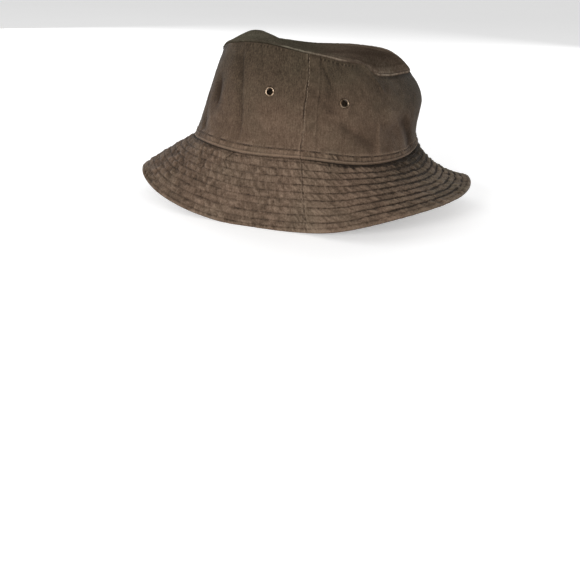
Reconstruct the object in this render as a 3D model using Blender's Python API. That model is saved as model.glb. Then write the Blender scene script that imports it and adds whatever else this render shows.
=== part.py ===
"""A soft bucket hat: side panels, tip, stitched two-cloth brim, sweatband, tapes and brass eyelets.

Metres, +Z up. X runs along the head's length and Y across it. The hat stands on its brim, with
z = 0 on the table. Every cloth piece is a strip of one of three surfaces (side, tip and brim),
moved inwards by the layers that lie over it and thickened.
"""
import math

import bmesh
import bpy
from mathutils import Matrix, Vector

MM = 0.001
TURN = 2 * math.pi

# The sewn pattern.
BASE_HALF_LENGTH = 100 * MM     # the oval seam that joins crown and brim
BASE_HALF_WIDTH = 85.5 * MM
SEAM_HEIGHT = 59 * MM           # of that seam above the table
TIP_HALF_LENGTH = 79 * MM       # the oval seam that joins tip and sides
TIP_HALF_WIDTH = 67 * MM
BRIM_LENGTH = 62 * MM           # from the seam to the hem, along the cloth

# The middle of the hat's box, measured from the middle of its crown. It comes to X = Y = 0.
BOX_MIDDLE = Vector((-1.5 * MM, -10.5 * MM, 0))

# The layers, from the outside in.
CLOTH = 0.8 * MM
INTERLINING = 0.4 * MM
TAPE = 0.5 * MM
BAND = 1.0 * MM
LABEL = 0.4 * MM
GAP = 0.3 * MM                  # left between pieces that touch

TAPE_WIDTH = 20 * MM
LABEL_WIDTH = 26 * MM
SIDE_ROWS = 7                   # rows of faces up the side panels
BAND_ROWS = 3                   # of them, from the foot, that the sweatband backs: about 35 mm
TIP_TAPE_HEAD = 0.975           # as a share of the side panel's height
LABEL_FOOT, LABEL_HEAD = 0.08, 0.26
HEM_MARGIN = 1.5 * MM           # the interlining stops short of the hem
FLOOR_CUT = 20 * MM             # depth of the block that levels the hem where it stands
FLOOR_WIDTH = 500 * MM

# Vent eyelets.
EYELET_FROM_SEAM = {"left": 30.2 * MM, "right": 32.5 * MM}
EYELET_HEIGHT = 0.58            # as a share of the side panel's height
EYELET_SIDES = 16               # facets round each turned piece
EYELET_BORE = 2.6 * MM
EYELET_BARREL = 3.0 * MM
EYELET_FLANGE = 4.3 * MM
EYELET_CURL = 3.8 * MM
METAL = 0.4 * MM
CLOTH_HOLE = 3.35 * MM
WASHER_HOLE = 3.35 * MM
WASHER_RADIUS = 4.6 * MM
PUNCH_LENGTH = 6 * MM
PUNCH_SIDES = 20

# How the washed, worn-in hat has settled, every 30 degrees from +X towards +Y. Millimetres and
# degrees. The far half (30 to 150) hangs evenly, and the near half (210 to 330) is more relaxed.
TIP_SEAM_RISE = (65.5, 75, 77, 76, 80, 81, 75, 84.5, 88.5, 82.5, 75.5, 63.5)
TIP_SEAM_SPREAD = (7.5, 3, 0, 0, 0, 0, -1.5, 0, 0, 1, 1, 3)
SIDE_BULGE = (10.5, 4, 2, 2, 2, 2, 0, 2, 2, 2, 3, 6)
BULGE_LIFT, BULGE_SHARPNESS = 1.6, 1.3          # the powers that place the bulge high on the side
BASE_SPREAD = (1, 0, 0, 0, 0, 0, 3, 3, 1, 2.5, 4, 2)
BASE_SAG = (-1.5, 0, 0.5, 1, 1, 0.5, 1.5, -1, 1, 0.5, 5.5, 4.5)
BRIM_SLOPE = (32, 52, 67, 70, 70, 59, 33, 56, 70, 67, 32, 25)
BRIM_CURL = (60, 15, 0, 0, 0, -4, -10, -4, 0, 0, 5, 30)
TIP_CENTRE_RISE = 77
TIP_EDGE_ROUNDNESS = (8, 5, 3, 2, 2, 2, 2, 2, 2, 2, 4, 8)
TIP_PUFF = (Vector((-49 * MM, -6 * MM)), 29 * MM, 15 * MM)    # place, reach and height
PUFF_EDGE = 8                   # the power that ends the puff at the tip's seam
SEAM_TWIST = math.radians(3.5)  # how far the near brim seam has pulled round at the hem

AROUND = 30                     # steps round half a hat
BRIM_ROWS = 6
BRIM_STEPS = 8                  # straight runs that a line down the brim is added up from
TIP_RINGS = (0, 0.03, 0.07, 0.13, 0.22, 0.36, 0.55, 0.76)       # from the seam to the centre
PATCH_STEPS = 4
SEARCH_STEP = math.radians(0.25)
SHARP_ANGLE = math.radians(35)
NORMAL_STEP = 0.004
LEFT_HALF = (math.radians(90), math.radians(270))
RIGHT_HALF = (math.radians(-90), math.radians(90))


def remove_all():
    for thing in list(bpy.data.objects):
        bpy.data.objects.remove(thing, do_unlink=True)


def around(values, turn):
    """Reads a value at an angle, smoothly, from values spaced evenly round the hat."""
    place = turn / TURN * len(values)
    step = math.floor(place)
    f = place - step
    a, b, c, d = (values[(step + k) % len(values)] for k in (-1, 0, 1, 2))
    return b + 0.5 * f * (c - a + f * (2 * a - 5 * b + 4 * c - d + f * (3 * (b - c) + d - a)))


def outwards(turn, half_length, half_width):
    """The level direction square to an oval at an angle."""
    return Vector((half_width * math.cos(turn), half_length * math.sin(turn), 0)).normalized()


def base_point(turn):
    """The crown and brim seam."""
    out = outwards(turn, BASE_HALF_LENGTH, BASE_HALF_WIDTH)
    flat = Vector((BASE_HALF_LENGTH * math.cos(turn), BASE_HALF_WIDTH * math.sin(turn), SEAM_HEIGHT))
    return flat + out * around(BASE_SPREAD, turn) * MM - Vector((0, 0, around(BASE_SAG, turn) * MM))


def rim_point(turn):
    """The tip and side seam."""
    out = outwards(turn, TIP_HALF_LENGTH, TIP_HALF_WIDTH)
    flat = Vector((TIP_HALF_LENGTH * math.cos(turn), TIP_HALF_WIDTH * math.sin(turn), SEAM_HEIGHT))
    return flat + out * around(TIP_SEAM_SPREAD, turn) * MM + Vector((0, 0, around(TIP_SEAM_RISE, turn) * MM))


def side_point(turn, up):
    """The outside of the side panels, from the base seam (0) to the tip seam (1)."""
    bulge = around(SIDE_BULGE, turn) * MM * abs(math.sin(math.pi * up ** BULGE_LIFT)) ** BULGE_SHARPNESS
    out = outwards(turn, BASE_HALF_LENGTH, BASE_HALF_WIDTH)
    return base_point(turn).lerp(rim_point(turn), up) + out * bulge


def tip_point(turn, inward):
    """The top of the tip, from its seam (0) to its centre (1), lying on the side panels' edge."""
    rim = rim_point(turn)
    share = 1 - inward
    rise = 1 - share ** around(TIP_EDGE_ROUNDNESS, turn)
    top = SEAM_HEIGHT + TIP_CENTRE_RISE * MM
    middle, reach, height = TIP_PUFF
    x, y = rim.x * share, rim.y * share
    away = ((x - middle.x) ** 2 + (y - middle.y) ** 2) / reach ** 2
    puff = height * math.exp(-away) * (1 - share ** PUFF_EDGE)
    return Vector((x, y, rim.z + (top - rim.z) * rise + puff + GAP + CLOTH))


def brim_point(turn, up):
    """The top of the brim, from the hem (0) to the base seam (1)."""
    stretch = (1 - up) * BRIM_LENGTH / BRIM_STEPS
    turn += SEAM_TWIST * (1 - up) * max(-math.sin(turn), 0) ** 2
    out = outwards(turn, BASE_HALF_LENGTH, BASE_HALF_WIDTH)
    point = base_point(turn)
    for i in range(BRIM_STEPS):
        share = (i + 0.5) / BRIM_STEPS * (1 - up)
        slope = math.radians(around(BRIM_SLOPE, turn) + around(BRIM_CURL, turn) * (0.5 - share))
        point += (out * math.cos(slope) - Vector((0, 0, math.sin(slope)))) * stretch
    return point


def deeper(surface, turn, v, depth):
    """A surface's point, moved inwards along the surface's normal."""
    side = NORMAL_STEP
    low, high = max(v - side, 0), min(v + side, 1)
    along = surface(turn + side, v) - surface(turn - side, v)
    across = surface(turn, high) - surface(turn, low)
    return surface(turn, v) - along.cross(across).normalized() * depth


def new_object(name, mesh_maker, material):
    mesh = bpy.data.meshes.new(name)
    bm = bmesh.new()
    mesh_maker(bm)
    bm.to_mesh(mesh)
    bm.free()
    mesh.shade_smooth()
    mesh.set_sharp_from_angle(angle=SHARP_ANGLE)
    thing = bpy.data.objects.new(name, mesh)
    bpy.context.collection.objects.link(thing)
    if material:
        mesh.materials.append(material)
    return thing


def make_material(name, colour, roughness, metallic=0.0):
    material = bpy.data.materials.new(name)
    material.use_nodes = True
    shader = material.node_tree.nodes["Principled BSDF"]
    shader.inputs["Base Color"].default_value = (*colour, 1)
    shader.inputs["Roughness"].default_value = roughness
    shader.inputs["Metallic"].default_value = metallic
    return material


def fill_strip(bm, surface, depth, turns, rows):
    """Faces between rows of points at the given turns and heights on a surface."""
    grid = [[bm.verts.new(deeper(surface, t, v, depth)) for t in turns] for v in rows]
    for low, high in zip(grid, grid[1:]):
        for a, b, c, d in zip(low, low[1:], high[1:], high):
            bm.faces.new((a, b, c, d))
    return grid


def spaced(first, last, count):
    return [first + (last - first) * i / count for i in range(count + 1)]


def thicken(thing, thickness):
    shell = thing.modifiers.new("thickness", "SOLIDIFY")
    shell.thickness = thickness
    shell.offset = -1
    shell.use_even_offset = True


def half_strip(name, surface, depth, thickness, half, rows, material):
    """One sewn half: a strip from one upright seam to the other."""
    trim = GAP / 2 / BASE_HALF_WIDTH
    turns = spaced(half[0] + trim, half[1] - trim, AROUND)
    thing = new_object(name, lambda bm: fill_strip(bm, surface, depth, turns, rows), material)
    thicken(thing, thickness)
    return thing


def ring_strip(name, surface, depth, thickness, rows, material):
    """A band that runs the whole way round."""
    def make(bm):
        grid = fill_strip(bm, surface, depth, spaced(0, TURN, 2 * AROUND)[:-1], rows)
        for low, high in zip(grid, grid[1:]):
            bm.faces.new((low[-1], low[0], high[0], high[-1]))
    thing = new_object(name, make, material)
    thicken(thing, thickness)
    return thing


def patch(name, surface, depth, thickness, middle, width, rows, material):
    """A short strip of one width, centred on an angle."""
    reach = width / 2 / BASE_HALF_WIDTH
    turns = spaced(middle - reach, middle + reach, PATCH_STEPS)
    thing = new_object(name, lambda bm: fill_strip(bm, surface, depth, turns, rows), material)
    thicken(thing, thickness)
    return thing


def make_tip(material):
    """Rings of points that close in on the centre of the tip."""
    def make(bm):
        grid = fill_strip(bm, tip_point, 0, spaced(0, TURN, 2 * AROUND)[:-1], TIP_RINGS)
        for low, high in zip(grid, grid[1:]):
            bm.faces.new((low[-1], low[0], high[0], high[-1]))
        centre = bm.verts.new(tip_point(0, 1))
        last = grid[-1]
        for a, b in zip(last, last[1:] + last[:1]):
            bm.faces.new((a, b, centre))
    tip = new_object("crown_tip", make, material)
    thicken(tip, CLOTH)
    return tip


def cutter(name, mesh_maker, place=None):
    """A block that is only there to be cut away."""
    thing = new_object(name, mesh_maker, None)
    thing.matrix_world = place or Matrix.Identity(4)
    thing.hide_render = True
    thing.display_type = "WIRE"
    return thing


def cut(thing, block):
    difference = thing.modifiers.new("cut", "BOOLEAN")
    difference.operation = "DIFFERENCE"
    difference.solver = "EXACT"
    difference.object = block


def eyelet_place(seam_turn, direction, distance):
    """Where an eyelet sits: on the side panel's outside, +Z outwards."""
    seam = side_point(seam_turn, EYELET_HEIGHT)
    turn = seam_turn
    while (side_point(turn, EYELET_HEIGHT) - seam).length < distance:
        turn += direction * SEARCH_STEP
    outside = side_point(turn, EYELET_HEIGHT)
    normal = outside - deeper(side_point, turn, EYELET_HEIGHT, 1 * MM)
    return Matrix.Translation(outside) @ normal.to_track_quat("Z", "Y").to_matrix().to_4x4()


def turned(outline):
    """A mesh maker that turns a closed outline of (radius, height) points about Z."""
    def make(bm):
        verts = [bm.verts.new((r, 0, z)) for r, z in outline]
        edges = [bm.edges.new(pair) for pair in zip(verts, verts[1:] + verts[:1])]
        bmesh.ops.spin(bm, geom=verts + edges, cent=(0, 0, 0), axis=(0, 0, 1), angle=TURN,
                       steps=EYELET_SIDES, use_merge=True, use_duplicate=False)
        bmesh.ops.remove_doubles(bm, verts=bm.verts, dist=0.001 * MM)
        bmesh.ops.recalc_face_normals(bm, faces=bm.faces)
    return make


def eyelet_outline():
    """A rounded flange on the outside, the barrel through the cloth, and a curl on the inside."""
    face = GAP
    back = -(CLOTH + 3 * GAP + METAL)
    crest = (EYELET_BORE + EYELET_FLANGE) / 2
    return (
        (EYELET_BARREL, face), (EYELET_FLANGE, face), (EYELET_FLANGE, face + METAL / 2),
        (crest, face + 2 * METAL), (EYELET_BORE, face + METAL), (EYELET_BORE, back - METAL),
        (EYELET_CURL, back - METAL), (EYELET_CURL, back), (EYELET_BARREL, back),
    )


def washer_outline():
    top = -(CLOTH + GAP)
    return (
        (WASHER_HOLE, top), (WASHER_HOLE, top - METAL),
        (WASHER_RADIUS, top - METAL), (WASHER_RADIUS, top),
    )


def make_eyelets(sides, brass, washer_brass):
    """Two eyelets beside each upright seam, each with its washer and its hole in the cloth."""
    for where, seam_turn in (("near", math.radians(270)), ("far", math.radians(90))):
        for hand, panel in sides.items():
            direction = 1 if (hand == "right") == (where == "near") else -1
            place = eyelet_place(seam_turn, direction, EYELET_FROM_SEAM[hand])
            label = f"{where}_{hand}"
            eyelet = new_object(f"eyelet_{label}", turned(eyelet_outline()), brass)
            washer = new_object(f"eyelet_washer_{label}", turned(washer_outline()), washer_brass)
            eyelet.matrix_world = washer.matrix_world = place
            cut(panel, cutter(f"cloth_hole_{label}", punch, place))


def punch(bm):
    """A plain round punch."""
    bmesh.ops.create_cone(bm, cap_ends=True, segments=PUNCH_SIDES, radius1=CLOTH_HOLE,
                          radius2=CLOTH_HOLE, depth=PUNCH_LENGTH)


def floor_block(bm):
    """The space below the table top."""
    size = Matrix.Diagonal((FLOOR_WIDTH, FLOOR_WIDTH, FLOOR_CUT, 1))
    bmesh.ops.create_cube(bm, size=1, matrix=Matrix.Translation((0, 0, -FLOOR_CUT / 2)) @ size)


def main():
    remove_all()
    twill = (0.135, 0.093, 0.068)
    crown_cloth = make_material("crown_twill", twill, 0.92)
    tip_cloth = make_material("tip_twill", (0.075, 0.062, 0.042), 0.92)
    brim_cloth = make_material("brim_twill", (0.150, 0.103, 0.075), 0.92)
    under_cloth = make_material("brim_under_twill", twill, 0.92)
    stiffener = make_material("interlining", (0.62, 0.60, 0.55), 0.95)
    band_cloth = make_material("sweatband_twill", (0.10, 0.075, 0.055), 0.9)
    tape_cloth = make_material("bias_tape", (0.09, 0.07, 0.05), 0.9)
    label_cloth = make_material("label_satin", (0.70, 0.68, 0.62), 0.55)
    brass = make_material("antique_brass", (0.36, 0.22, 0.09), 0.38, 1.0)
    washer_brass = make_material("washer_brass", (0.42, 0.29, 0.13), 0.42, 1.0)

    foot = GAP / (TIP_CENTRE_RISE * MM)
    side_rows = [foot] + spaced(0, 1, SIDE_ROWS)[1:]
    brim_rows = spaced(0, 1, BRIM_ROWS)
    hem = HEM_MARGIN / BRIM_LENGTH
    lining_rows = [hem] + brim_rows[1:-1] + [1 - hem]
    inside_cloth = CLOTH + GAP
    inside_lining = inside_cloth + INTERLINING + GAP
    inside_band = inside_cloth + BAND + GAP

    sides = {}
    table = cutter("table_block", floor_block)
    for hand, half in (("left", LEFT_HALF), ("right", RIGHT_HALF)):
        sides[hand] = half_strip(f"crown_side_{hand}", side_point, 0, CLOTH, half, side_rows, crown_cloth)
        top = half_strip(f"brim_top_{hand}", brim_point, 0, CLOTH, half, brim_rows, brim_cloth)
        half_strip(f"brim_interlining_{hand}", brim_point, inside_cloth, INTERLINING, half,
                   lining_rows, stiffener)
        under = half_strip(f"brim_under_{hand}", brim_point, inside_lining, CLOTH, half,
                           brim_rows, under_cloth)
        cut(top, table)
        cut(under, table)
    make_tip(tip_cloth)
    make_eyelets(sides, brass, washer_brass)
    ring_strip("sweatband", side_point, inside_cloth, BAND, side_rows[:BAND_ROWS + 1], band_cloth)
    ring_strip("tip_seam_tape", side_point, inside_cloth, TAPE,
               (side_rows[-2], TIP_TAPE_HEAD), tape_cloth)
    tape_rows = [side_rows[BAND_ROWS] + foot] + side_rows[BAND_ROWS + 1:-2] + [side_rows[-2] - foot]
    for where, turn in (("near", math.radians(270)), ("far", math.radians(90))):
        patch(f"side_seam_tape_{where}", side_point, inside_cloth, TAPE, turn, TAPE_WIDTH,
              tape_rows, tape_cloth)
    patch("size_label", side_point, inside_band, LABEL, math.radians(180), LABEL_WIDTH,
          (LABEL_FOOT, side_rows[1], LABEL_HEAD), label_cloth)
    for thing in bpy.data.objects:
        thing.matrix_world = Matrix.Translation(-BOX_MIDDLE) @ thing.matrix_world


main()
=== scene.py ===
"""A washed cotton twill bucket hat: every panel, thread and eyelet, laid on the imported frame's shape."""
import math

import bmesh
import bpy
import numpy as np
from mathutils import Matrix, Vector


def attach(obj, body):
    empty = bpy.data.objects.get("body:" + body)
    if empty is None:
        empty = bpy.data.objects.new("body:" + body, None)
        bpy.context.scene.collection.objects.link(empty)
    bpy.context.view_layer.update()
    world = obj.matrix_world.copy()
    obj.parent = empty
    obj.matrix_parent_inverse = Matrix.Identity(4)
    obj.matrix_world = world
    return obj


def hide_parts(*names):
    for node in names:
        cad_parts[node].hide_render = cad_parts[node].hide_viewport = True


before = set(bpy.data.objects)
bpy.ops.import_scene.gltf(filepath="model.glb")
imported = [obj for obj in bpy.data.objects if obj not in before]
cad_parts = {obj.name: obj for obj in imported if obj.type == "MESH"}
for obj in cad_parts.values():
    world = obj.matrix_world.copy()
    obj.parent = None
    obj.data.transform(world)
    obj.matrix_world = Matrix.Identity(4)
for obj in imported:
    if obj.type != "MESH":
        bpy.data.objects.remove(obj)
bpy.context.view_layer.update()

MM = 0.001
TURN = 2 * math.pi
NEAR, FAR = math.radians(270), math.radians(90)
SEAMS = (("near", NEAR), ("far", FAR))  # the upright seams
HANDS = ("left", "right")  # the sewn halves

# The hat's form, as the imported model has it, in millimetres or degrees.
# A list holds one value for every 30 degrees from +X to +Y.
BASE_HALF = (100 * MM, 85.5 * MM)
TIP_HALF = (79 * MM, 67 * MM)
SEAM_HEIGHT = 59 * MM
BRIM_LENGTH = 62 * MM
TIP_SEAM_RISE = (65.5, 75, 77, 76, 80, 81, 75, 84.5, 88.5, 82.5, 75.5, 63.5)
TIP_SEAM_SPREAD = (7.5, 3, 0, 0, 0, 0, -1.5, 0, 0, 1, 1, 3)
SIDE_BULGE = (10.5, 4, 2, 2, 2, 2, 0, 2, 2, 2, 3, 6)
BULGE_LIFT, BULGE_NARROWNESS = 1.6, 1.3
BASE_SPREAD = (1, 0, 0, 0, 0, 0, 3, 3, 1, 2.5, 4, 2)
BASE_RISE = (1.5, 0, -0.5, -1, -1, -0.5, -1.5, 1, -1, -0.5, -5.5, -4.5)
BRIM_SLOPE = (32, 52, 67, 70, 70, 59, 33, 56, 70, 67, 32, 25)
BRIM_CURL = (60, 15, 0, 0, 0, -4, -10, -4, 0, 0, 5, 30)
BRIM_STEPS = 8
TIP_CENTRE_RISE = 77 * MM
TIP_EDGE_ROUNDNESS = (8, 5, 3, 2, 2, 2, 2, 2, 2, 2, 4, 8)
TIP_PUFF = ((-49 * MM, -6 * MM), 29 * MM, 15 * MM)
PUFF_FADE = 8  # how close to the rim the puff keeps its height
SEAM_TWIST = math.radians(3.5)
FRAME_SHIFT = np.array((1.5 * MM, 10.5 * MM, 0))

CLOTH, INTERLINING, TAPE, BAND, LABEL, GAP = 0.8, 0.4, 0.5, 1.0, 0.4, 0.3  # thicknesses, in mm
NORMAL_STEP = 0.004
FLOOR_CLEARANCE, THREAD_CLEARANCE = 0.1 * MM, 0.05 * MM

random = np.random.default_rng(11)
LATTICE_SIZE = 4096
LATTICE_STEPS = (1619, 31337, 6971)
LATTICE = random.uniform(-1, 1, LATTICE_SIZE)


# ---- noise ----

def noise(x, y, z=0.0):
    """Smooth noise from -1 to 1 with a lattice step of 1."""
    x, y, z = np.broadcast_arrays(x, y, z)
    cell = [np.floor(a).astype(int) for a in (x, y, z)]
    f = [a - c for a, c in zip((x, y, z), cell)]
    f = [a * a * a * (a * (a * 6 - 15) + 10) for a in f]
    total = 0
    for corner in np.ndindex(2, 2, 2):
        weight = 1
        for share, far in zip(f, corner):
            weight = weight * (share if far else 1 - share)
        place = sum((c + far) * step for c, far, step in zip(cell, corner, LATTICE_STEPS))
        total = total + weight * LATTICE[place % LATTICE_SIZE]
    return total


def crumple(points, step, seed):
    """Two octaves of noise over places in space; step is in mm."""
    p = points / (step * MM)
    return (noise(p[..., 0] + seed, p[..., 1], p[..., 2])
            + 0.5 * noise(2 * p[..., 0], 2 * p[..., 1] + seed, 2 * p[..., 2])) / 1.2


def ramp(x, low, high):
    """0 below low, 1 above high, smooth between; low may be the larger."""
    f = np.clip((x - low) / (high - low), 0, 1)
    return f * f * (3 - 2 * f)


def between(x, low, full, ebb, high):
    """1 from full to ebb, falling smoothly to 0 at low and at high."""
    return ramp(x, low, full) * ramp(x, high, ebb)


def hump(x, width):
    return np.exp(-(x / width) ** 2)


def unit(vectors):
    return vectors / np.maximum(np.linalg.norm(vectors, axis=-1, keepdims=True), 1e-12)


# ---- the form ----

def around(values, turn):
    place = turn / TURN * len(values)
    step = np.floor(place).astype(int)
    f = place - step
    listed = np.asarray(values, float)
    a, b, c, d = (listed[(step + k) % len(values)] for k in (-1, 0, 1, 2))
    return b + 0.5 * f * (c - a + f * (2 * a - 5 * b + 4 * c - d + f * (3 * (b - c) + d - a)))


def outwards(turn, half):
    return unit(np.stack([half[1] * np.cos(turn), half[0] * np.sin(turn), 0 * turn], -1))


def oval(turn, half, spread, rise):
    level = np.stack([half[0] * np.cos(turn), half[1] * np.sin(turn), 0 * turn + SEAM_HEIGHT], -1)
    level = level + FRAME_SHIFT + outwards(turn, half) * (around(spread, turn) * MM)[..., None]
    level[..., 2] += around(rise, turn) * MM
    return level


def base_point(turn):
    return oval(turn, BASE_HALF, BASE_SPREAD, BASE_RISE)


def rim_point(turn):
    return oval(turn, TIP_HALF, TIP_SEAM_SPREAD, TIP_SEAM_RISE)


def side_point(turn, up):
    """The outside of the side panels, from the base seam (0) to the tip seam (1)."""
    arch = np.abs(np.sin(math.pi * np.abs(up) ** BULGE_LIFT)) ** BULGE_NARROWNESS
    bulge = around(SIDE_BULGE, turn) * MM * arch
    base = base_point(turn)
    return base + (rim_point(turn) - base) * up[..., None] + outwards(turn, BASE_HALF) * bulge[..., None]


def tip_point(turn, inward):
    """The top of the tip, from its seam (0) to its centre (1)."""
    rim = rim_point(turn) - FRAME_SHIFT
    share = 1 - inward
    rise = 1 - share ** around(TIP_EDGE_ROUNDNESS, turn)
    x, y = rim[..., 0] * share, rim[..., 1] * share
    middle, reach, height = TIP_PUFF
    away = ((x - middle[0]) ** 2 + (y - middle[1]) ** 2) / reach ** 2
    puff = height * np.exp(-away) * (1 - share ** PUFF_FADE)
    z = rim[..., 2] + (SEAM_HEIGHT + TIP_CENTRE_RISE - rim[..., 2]) * rise + puff + (GAP + CLOTH) * MM
    return np.stack([x, y, z], -1) + FRAME_SHIFT


def brim_point(turn, up):
    """The top of the brim, from the hem (0) to the base seam (1)."""
    stretch = ((1 - up) * BRIM_LENGTH / BRIM_STEPS)[..., None]
    turn = turn + SEAM_TWIST * (1 - up) * np.maximum(-np.sin(turn), 0) ** 2
    out = outwards(turn, BASE_HALF)
    point = base_point(turn)
    for i in range(BRIM_STEPS):
        share = (i + 0.5) / BRIM_STEPS * (1 - up)
        slope = np.radians(around(BRIM_SLOPE, turn) + around(BRIM_CURL, turn) * (0.5 - share))
        down = np.stack([0 * slope, 0 * slope, np.sin(slope)], -1)
        point = point + (out * np.cos(slope)[..., None] - down) * stretch
    return point


def normals(surface, turn, v):
    along = surface(turn + NORMAL_STEP, v) - surface(turn - NORMAL_STEP, v)
    across = surface(turn, np.minimum(v + NORMAL_STEP, 1)) - surface(turn, v - NORMAL_STEP)
    return unit(np.cross(along, across))


def lifted(surface, turn, v, height):
    """A surface's points, moved out along its normals by a height in mm, never below the floor."""
    points = surface(turn, v) + normals(surface, turn, v) * (height * MM)[..., None]
    points[..., 2] = np.maximum(points[..., 2], FLOOR_CLEARANCE)
    return points


def faces_over(surface, turn, v, outer, inner):
    """The two faces of a cloth, by their heights over a surface in mm."""
    return lifted(surface, turn, v, outer), lifted(surface, turn, v, inner)


def lengths_along(points):
    """How far each row of points lies from the first, along their path, in mm."""
    gone = np.cumsum(np.linalg.norm(np.diff(points, axis=0), axis=-1), axis=0)
    return np.concatenate([0 * gone[:1], gone]) / MM


ARC_TURNS = np.radians(np.arange(-90, 270.01, 0.5))
ARC = lengths_along(base_point(ARC_TURNS))
ROUND = ARC[-1]  # the base seam's length, in mm
SIDE_HIGH = 85.0  # the side panels' height, in mm
BRIM_DEEP = BRIM_LENGTH / MM
PAST_FAR_SEAM = 15  # how far the count to the right runs on, in mm


def along_of(turn):
    """Mm along the base seam from the near upright seam, plus to the right, as far as half-way round."""
    mm = np.interp((turn - NEAR) % TURN, ARC_TURNS + TURN / 4, ARC)
    return np.where(mm > ROUND / 2 + PAST_FAR_SEAM, mm - ROUND, mm)


def turn_of(mm):
    return np.interp(mm % ROUND, ARC, ARC_TURNS)


def from_far_seam(x):
    return np.where(x > 0, x - ROUND / 2, x + ROUND / 2)


# ---- seams, folds and quilting: heights in mm over the cloth, x along it and y up or down it ----

STITCH_ROWS = 3.4 + 6.26 * np.arange(9)  # the brim's quilting rows, from the base seam
CHANNELS = np.concatenate([[-0.8], STITCH_ROWS, [63.4]])
BASE_ROWS = (1.9, 5.9)  # the two rows above the base seam
BAND_EDGE = 7.0
ALLOWANCE = 11.5  # the pressed allowance beside each upright seam


def fold(run, across, line, before, after, height):
    """A crease along a line of (run, across) places, with its own width on each side and soft ends."""
    places = np.array(line, float)
    x = across - np.interp(run, places[:, 0], places[:, 1])
    first, last = places[0, 0], places[-1, 0]
    soft = 0.15 * (last - first)
    ends = between(run, first - soft, first + soft, last - soft, last + soft)
    return height * hump(x, np.where(x < 0, before, after)) * ends


def dents(x, y, listed):
    """The sum of some soft round dents, each with its place, its reach across and up, and its height."""
    return sum(height * np.exp(-((x - place[0]) / size[0]) ** 2 - ((y - place[1]) / size[1]) ** 2)
               for place, size, height in listed)


# Where along the base seam the tip's turned edge lies, as a share of the side panels' height.
TIP_FOOT = ((-170, 0.988), (-20, 0.99), (22, 0.98), (34, 0.968), (52, 0.975), (60, 0.985), (78, 0.922),
            (92, 0.955), (110, 0.985), (127, 0.985), (142, 0.955), (152, 0.94), (175, 0.975), (200, 0.988))


def top_of_side(turn):
    """Where the side ends and the tip's turned edge begins: lower where the tip rolls over."""
    x = along_of(turn)
    places, tops = zip(*TIP_FOOT)
    return sum(np.interp(x + k, places, tops) for k in (-4, -2, 0, 2, 4)) / 5


def seam_lean(y):
    """How far the near upright seam wanders from the straight, in mm."""
    return np.interp(y, (0, 34, 47, 70, 81), (-1.8, -0.9, 0, 1.7, 0.9)) + 0.55 * noise(y / 5, 3.3)


# The worn crown's folds that run up it: their (up, along) places, the width on each side, and the height.
UPRIGHT_FOLDS = (
    (((12, -60), (26, -60.2), (42, -62.7), (58, -66), (67, -69), (73, -71)), 7, 1.0, -2.0),
    (((33, -96.5), (44, -98), (55, -99)), 1.0, 1.0, -0.9),
    (((8, -113), (30, -117), (50, -126)), 4, 3, -1.2),
    (((2, 69.2), (18, 70), (36, 71.7)), 1.6, 3.0, 0.9),
    (((-10, 118), (14, 117), (40, 106)), 8, 5, -2.6),
    (((44, 36), (54, 33), (60, 31)), 1.6, 3.0, 0.6),
    (((64, 81), (70, 78.5), (77, 70), (86, 60)), 3.0, 4.5, 1.2),
)
# Those that run along it, by their (along, up) places.
LEVEL_FOLDS = (
    (((14, 80), (18, 74), (25, 62)), 2.6, 2.2, -1.3),
    (((11, 52), (20, 45), (36, 38)), 4, 3, -1.2),
    (((34, 31), (44, 26), (54, 21), (66, 16)), 7, 3.5, -1.9),
    (((13, 11), (22, 10.5), (34, 8)), 2.2, 2.4, -0.5),
)
CROWN_DENTS = (
    ((-98, 44), (7, 14), -2.6), ((-111, 14), (5, 12), -1.0), ((40, 37), (13, 6), 1.2),
    ((52, 13), (10, 7), 0.5), ((92, 28), (11, 9), -1.5), ((84, 45), (10, 10), 1.0),
    ((-30, 30), (22, 18), 0.9),
)
# Painted shade and painted light on the crown, darker and paler places listed in the same way.
CROWN_SHADES = (
    ((54, 20), (14, 7), 0.16), ((21, 61), (4, 15), 0.34), ((31, 63), (5, 6), -0.2),
    ((47, 76), (10, 5), -0.12), ((80, 71), (13, 7), 0.34), ((66, 42), (14, 8), -0.14),
    ((92, 36), (7, 14), -0.24), ((-38, 54), (12, 16), 0.12), ((-66, 24), (10, 10), -0.08),
    ((-76, 68), (12, 14), 0.14), ((20, 20), (12, 14), -0.14), ((84, 12), (10, 6), 0.2),
    ((-98, 44), (6, 12), 0.5),
)


def side_folds(x, y):
    """The soft folds and dents of the worn crown."""
    folds = sum(fold(y, x, *one) for one in UPRIGHT_FOLDS) + sum(fold(x, y, *one) for one in LEVEL_FOLDS)
    return folds + dents(x, y, CROWN_DENTS)


def base_band(x, y):
    """The turned and twice stitched edge over the base seam."""
    pucker = noise(x / 2.3, 9.1)
    from_low, from_high = y - BASE_ROWS[0], y - BASE_ROWS[1]
    raised = 0.85 * ramp(y, BAND_EDGE + 0.9, BAND_EDGE - 0.4) - 0.9 * ramp(y, 0.5, -0.9)
    tucked = between(x, -15, 30, 150, 180)
    slant = noise((x + 0.8 * y) / 1.25, 6.4) * hump(x - 24, 15)
    rolled = 0.75 * hump(y - 0.6, 0.9) + (0.25 * noise(x / 1.6, 2.7) + 1.3 * slant) * hump(y - 3.8, 2.0)
    rolled += (0.3 + 0.25 * tucked) * hump(from_high - 1.5, 0.8)
    rows = -(0.16 + 0.4 * tucked) * hump(from_low, 0.5) - (0.45 + 0.4 * pucker) * hump(from_high, 0.55)
    pulls = 0.4 * pucker * hump(from_high - 0.4, 2.4) + 0.2 * noise(x / 1.9, 4.2) * hump(y - 2.8, 2)
    return raised, rolled + rows + pulls - 0.5 * (0.6 + pucker) * hump(from_high, 0.7)


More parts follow.
